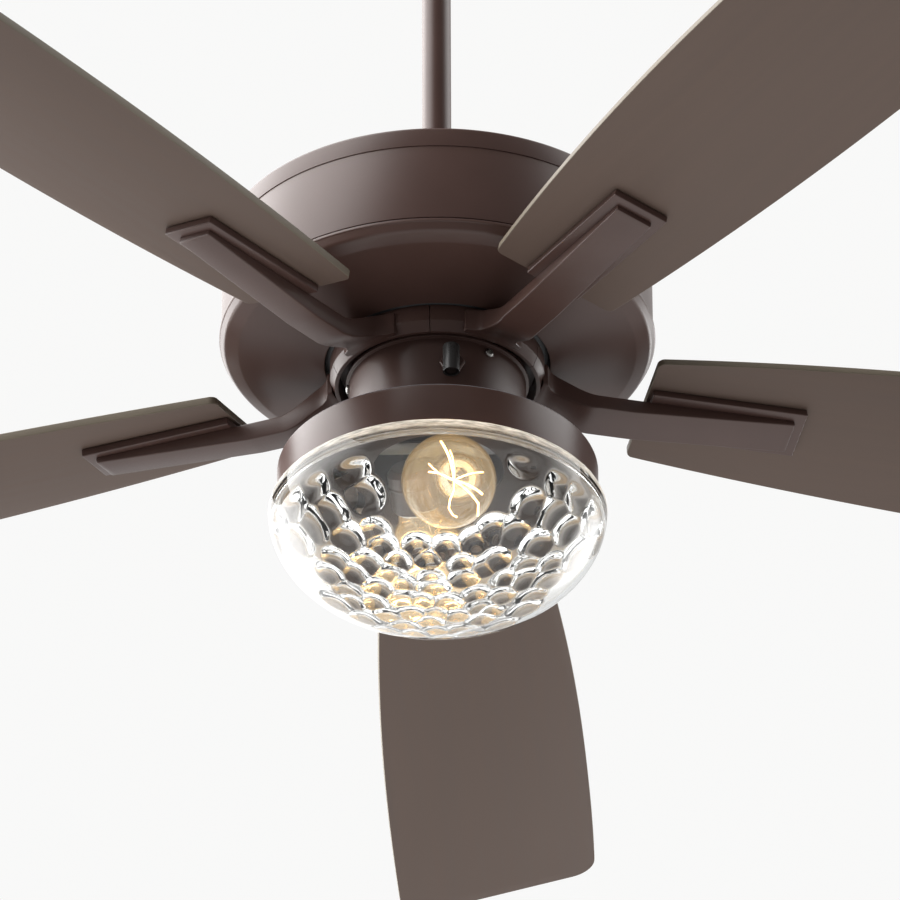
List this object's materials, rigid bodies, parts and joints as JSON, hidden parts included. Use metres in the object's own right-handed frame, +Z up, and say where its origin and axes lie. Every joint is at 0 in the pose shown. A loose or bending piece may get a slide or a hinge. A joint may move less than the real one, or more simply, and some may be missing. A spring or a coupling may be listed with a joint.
{
  "type": "ceiling fan with light",
  "caption": "Ceiling fan on a short downrod: pitched blades on cast irons turn under a drum motor housing, above a switch housing and a clear hammered glass bowl with lamps.",
  "frame": {"origin": "centre of the bracket's top face, where it meets the ceiling", "axes": "+Z up out of the bracket's top face, -Z along the downrod towards the glass bowl; -Y is the side of the pull outlet"},
  "size_m": [1.2864, 1.2504, 0.6187],
  "materials": {
    "bronze_paint": "satin oil-rubbed bronze paint",
    "blade_laminate": "matte brown laminate over board",
    "plated_steel": "zinc or nickel plated",
    "dark_steel": "dark phosphated",
    "copper_winding": "enamelled copper wire",
    "rotor_aluminium": "die cast, painted black",
    "black_plastic": "gloss black",
    "lamp_holder": "dark brown phenolic lamp holder",
    "lamp_glass": "clear lamp glass with warm filaments",
    "bowl_glass": "clear hammered glass"
  },
  "bodies": {
    "ceiling_mount": {"ceiling_bracket": "plated_steel", "canopy": "bronze_paint", "canopy_screw_1": "plated_steel", "canopy_screw_2": "plated_steel"},
    "hanger_seat": {"hanger_seat": "black_plastic"},
    "stem": {"hanger_ball": "dark_steel", "ball_pin": "plated_steel", "downrod": "bronze_paint", "coupling": "dark_steel", "coupling_pin": "plated_steel", "housing_lid": "bronze_paint", "housing_band": "bronze_paint", "housing_dish": "bronze_paint", "motor_shaft": "plated_steel", "stator_core": "dark_steel", "winding_upper": "copper_winding", "winding_lower": "copper_winding", "switch_plate": "dark_steel", "shaft_nut": "plated_steel", "switch_housing": "bronze_paint", "housing_screw_1": "plated_steel", "housing_screw_2": "plated_steel", "housing_screw_3": "plated_steel", "pull_switch": "black_plastic", "pull_nozzle": "plated_steel", "pull_nut": "bronze_paint", "pull_guide": "black_plastic", "reverse_switch": "black_plastic", "capacitor": "black_plastic", "lamp_pan": "bronze_paint", "socket_bridge": "dark_steel", "lamp_socket_1": "lamp_holder", "lamp_socket_2": "lamp_holder", "lamp_base_1": "plated_steel", "lamp_base_2": "plated_steel", "lamp_glass_1": "lamp_glass", "lamp_glass_2": "lamp_glass", "twist_tab_1": "plated_steel", "twist_tab_2": "plated_steel", "twist_tab_3": "plated_steel"},
    "coupling_cover": {"coupling_cover": "bronze_paint"},
    "rotor": {"rotor_lower": "rotor_aluminium", "rotor_upper": "rotor_aluminium", "rotor_cage": "dark_steel", "bearing_upper": "plated_steel", "bearing_lower": "plated_steel", "blade_iron_1": "bronze_paint", "blade_iron_2": "bronze_paint", "blade_iron_3": "bronze_paint", "blade_iron_4": "bronze_paint", "blade_iron_5": "bronze_paint", "blade_1": "blade_laminate", "blade_2": "blade_laminate", "blade_3": "blade_laminate", "blade_4": "blade_laminate", "blade_5": "blade_laminate"},
    "pull_tip": {"pull_tip": "black_plastic"},
    "reverse_knob": {"reverse_knob": "black_plastic"},
    "glass_bowl": {"glass_bowl": "bowl_glass"}
  },
  "joints": [
    {"name": "seat_tilt", "type": "hinge", "parent": "ceiling_mount", "child": "hanger_seat", "pos_m": [0, 0, -0.045], "axis": [1, 0, 0], "range_deg": [-10, 10]},
    {"name": "stem_tilt", "type": "hinge", "parent": "hanger_seat", "child": "stem", "pos_m": [0, 0, -0.045], "axis": [0, 1, 0], "range_deg": [-10, 10]},
    {"name": "cover_lift", "type": "slide", "parent": "stem", "child": "coupling_cover", "axis": [0, 0, 1], "range_m": [0, 0.15]},
    {"name": "rotor_spin", "type": "hinge", "parent": "stem", "child": "rotor", "pos_m": [0, 0, -0.451], "axis": [0, 0, 1], "continuous": true},
    {"name": "pull", "type": "slide", "parent": "stem", "child": "pull_tip", "axis": [0, 0, -1], "range_m": [0, 0.012], "stiffness_N_per_m": 250, "springref_m": -0.002},
    {"name": "reverse_slide", "type": "slide", "parent": "stem", "child": "reverse_knob", "axis": [1, 0, 0], "range_m": [0, 0.006]},
    {"name": "bowl_twist", "type": "hinge", "parent": "stem", "child": "glass_bowl", "pos_m": [0, 0, -0.451], "axis": [0, 0, 1], "range_deg": [0, 20]}
  ]
}
